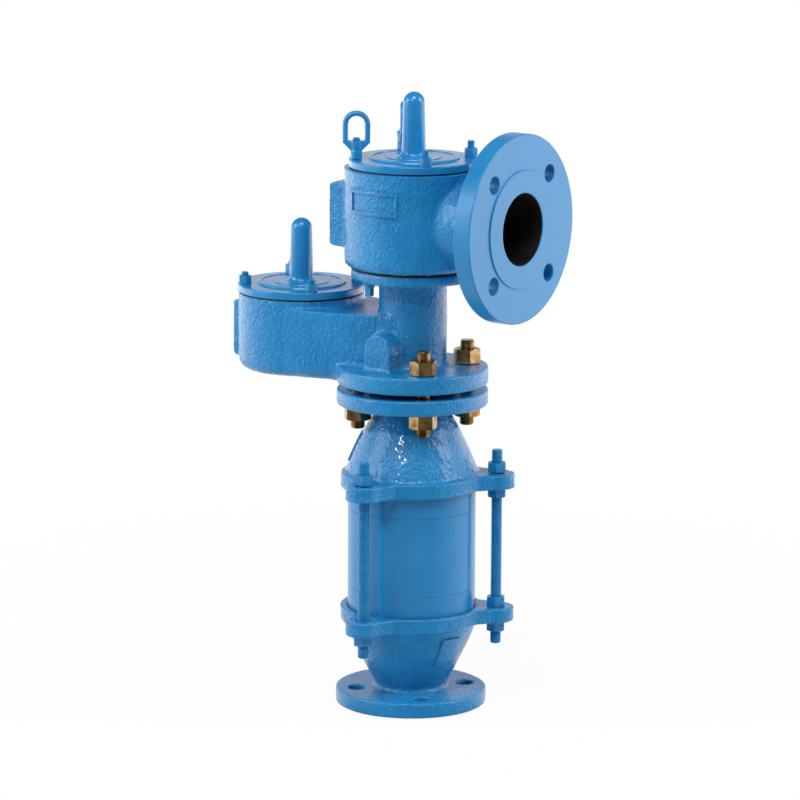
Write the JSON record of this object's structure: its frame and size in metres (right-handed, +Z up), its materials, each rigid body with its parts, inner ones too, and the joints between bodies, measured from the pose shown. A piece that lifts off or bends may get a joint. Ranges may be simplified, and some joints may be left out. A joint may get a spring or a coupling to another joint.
{
  "type": "tank breather valve with flame arrester",
  "caption": "Pipe-away pressure and vacuum relief valve with side outlet flange and side vacuum chamber, bolted on an in-line flame arrester clamped by tie rods, in blue paint.",
  "frame": {"origin": "centre of the inlet flange's raised face, the surface that the valve stands on; the plane of the bolt holes' mouths lies 1.6 mm above it", "axes": "+Z up along the arrester and the pressure pallet's axis, +X out of the outlet flange, -X to the vacuum chamber"},
  "size_m": [0.364, 0.2148, 0.676],
  "materials": {
    "casting_blue": "glossy sky-blue enamel over a sand-cast skin",
    "shell_blue": "smooth satin-gloss sky-blue enamel on turned steel",
    "fastener_blue": "sky-blue enamel brushed over threads and nuts",
    "yellow_zinc": "yellow chromated zinc",
    "gasket": "matt black fibre and rubber",
    "stainless": "turned stainless steel",
    "seal_film": "off-white fluoropolymer"
  },
  "bodies": {
    "valve": {"lower_casing": "casting_blue", "upper_casing": "casting_blue", "lower_spacer_ring": "shell_blue", "upper_spacer_ring": "shell_blue", "element_housing": "shell_blue", "stack_gaskets": "gasket", "lower_support_grid": "stainless", "upper_support_grid": "stainless", "element_core": "stainless", "crimped_ribbons": "stainless", "flat_ribbons": "stainless", "tie_rods": "fastener_blue", "tie_rod_nuts": "fastener_blue", "jack_nuts": "fastener_blue", "joint_gasket": "gasket", "flange_studs": "yellow_zinc", "flange_nuts": "yellow_zinc", "valve_body": "casting_blue", "pressure_seat": "stainless", "housing_gasket": "gasket", "pressure_housing": "casting_blue", "housing_screws": "stainless", "drain_plug": "fastener_blue", "pressure_lid_gasket": "gasket", "pressure_lid": "casting_blue", "pressure_guide_bush": "seal_film", "pressure_lid_studs": "fastener_blue", "pressure_lid_washers": "fastener_blue", "pressure_lid_nuts": "fastener_blue", "eye_nuts": "fastener_blue", "vacuum_seat": "stainless", "inlet_screen": "stainless", "screen_retainer": "casting_blue", "screen_screws": "stainless", "vacuum_lid_gasket": "gasket", "vacuum_lid": "casting_blue", "vacuum_guide_bush": "seal_film", "vacuum_lid_studs": "fastener_blue", "vacuum_lid_washers": "fastener_blue", "vacuum_lid_nuts": "fastener_blue"},
    "pressure_pallet_group": {"pressure_pallet": "stainless", "pressure_pallet_seal": "seal_film", "pressure_seal_retainer": "stainless", "pressure_stem": "stainless", "pressure_weight_plates": "stainless", "pressure_stem_nut": "stainless"},
    "vacuum_pallet_group": {"vacuum_pallet": "stainless", "vacuum_pallet_seal": "seal_film", "vacuum_seal_retainer": "stainless", "vacuum_stem": "stainless", "vacuum_weight_plate": "stainless", "vacuum_stem_nut": "stainless"}
  },
  "joints": [
    {"name": "pressure_pallet_lift", "type": "slide", "parent": "valve", "child": "pressure_pallet_group", "axis": [0, 0, 1], "range_m": [0, 0.018]},
    {"name": "vacuum_pallet_lift", "type": "slide", "parent": "valve", "child": "vacuum_pallet_group", "axis": [0, 0, 1], "range_m": [0, 0.015]}
  ]
}
